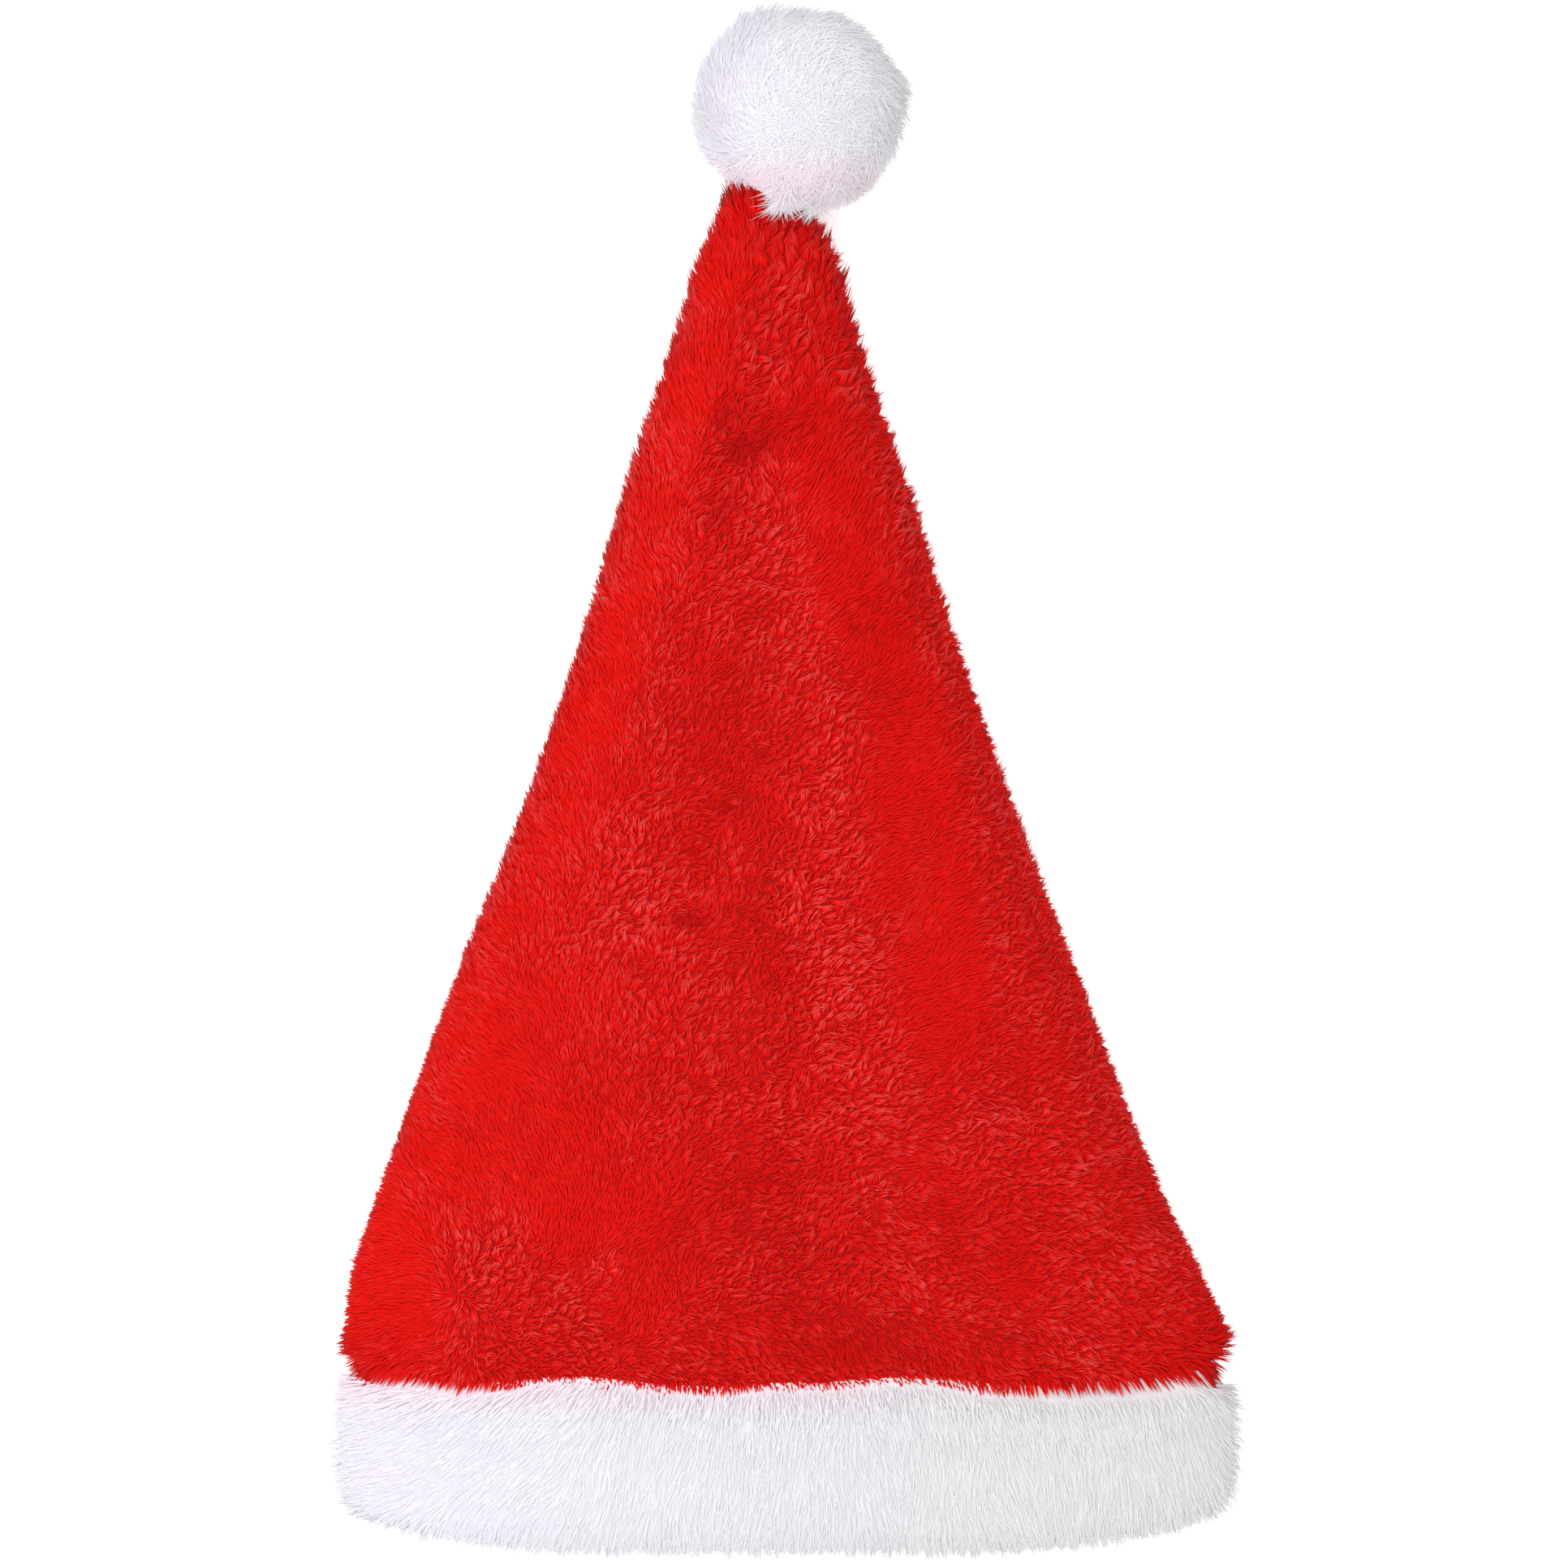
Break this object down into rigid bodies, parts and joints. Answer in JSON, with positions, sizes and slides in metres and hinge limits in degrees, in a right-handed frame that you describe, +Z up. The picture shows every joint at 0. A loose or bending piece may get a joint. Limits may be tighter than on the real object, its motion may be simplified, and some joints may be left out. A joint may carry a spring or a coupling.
{
  "type": "santa hat",
  "caption": "Soft conical plush hat lying flat, with a wide fur band round the head opening and a fur ball at the tip.",
  "frame": {"origin": "on the flat underside of the crown, about half way along the hat, where it rests on the floor", "axes": "+Z up out of the floor, +Y from the brim to the pompom, +X to the right of someone who looks down on the hat's front"},
  "size_m": [0.279, 0.4753, 0.062],
  "materials": {
    "plush": "short dense pile",
    "brim_fur": "long soft fur",
    "pompom_fur": "long soft fur"
  },
  "bodies": {
    "root": {"crown_front": "plush", "crown_back": "plush", "brim": "brim_fur", "pompom": "pompom_fur"}
  },
  "joints": []
}
